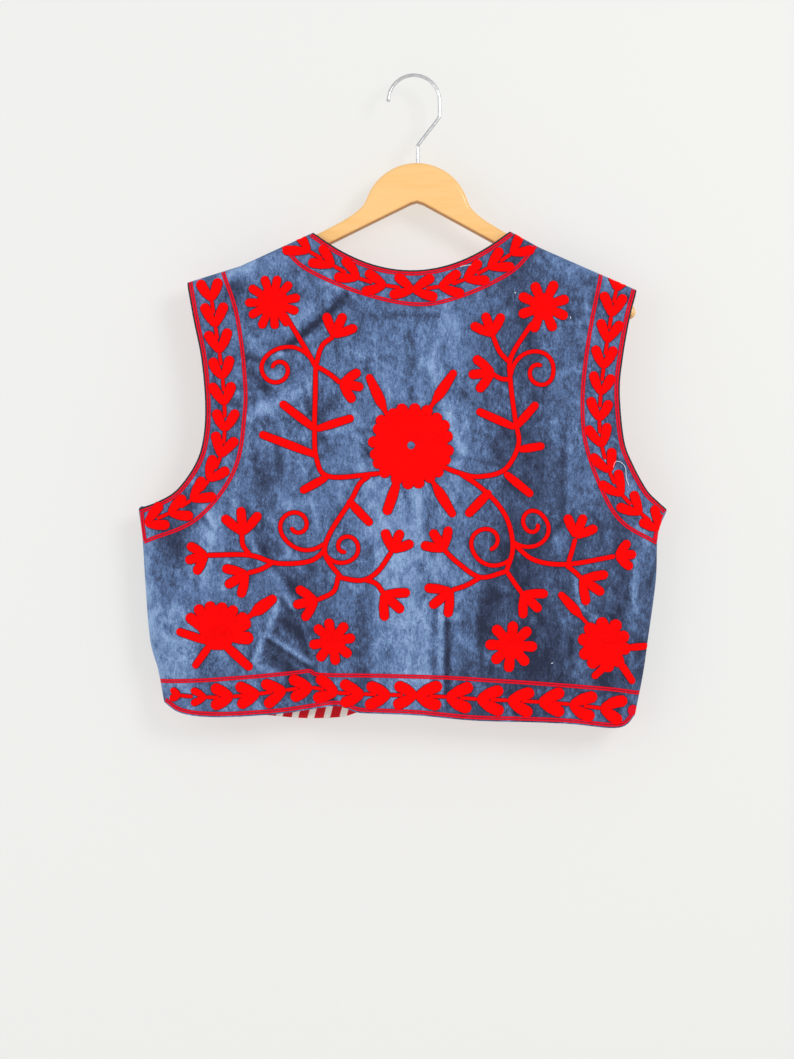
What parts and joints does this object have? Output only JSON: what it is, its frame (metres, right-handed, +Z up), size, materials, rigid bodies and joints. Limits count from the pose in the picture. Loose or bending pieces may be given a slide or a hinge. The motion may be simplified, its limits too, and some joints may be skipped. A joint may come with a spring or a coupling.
{
  "type": "embroidered velvet folk vest on a wooden clothes hanger",
  "caption": "Cropped sleeveless open-front velvet vest with bands for embroidery, hanging from a flat wooden hanger with a wire hook.",
  "frame": {"origin": "seat of the hanger's hook: the lowest point of the inside of its arch, where a rail or nail carries it", "axes": "+Z up along the hang, +X across the shoulders, -Y out of the vest's back, +Y out of its fronts"},
  "size_m": [0.5305, 0.0417, 0.6555],
  "materials": {
    "velvet": "crushed short-pile cotton velvet, dusty blue",
    "lining": "plain-weave cotton in red and off-white stripes",
    "embroidery": "red wool yarn in close chain stitch",
    "wood": "pale wood under clear varnish",
    "steel": "bright plated wire"
  },
  "bodies": {
    "root": {"back_panel": "velvet", "front_panel_left": "velvet", "front_panel_right": "velvet", "front_lining_left": "lining", "hanger_body": "wood", "hanger_hook": "steel"}
  },
  "joints": []
}
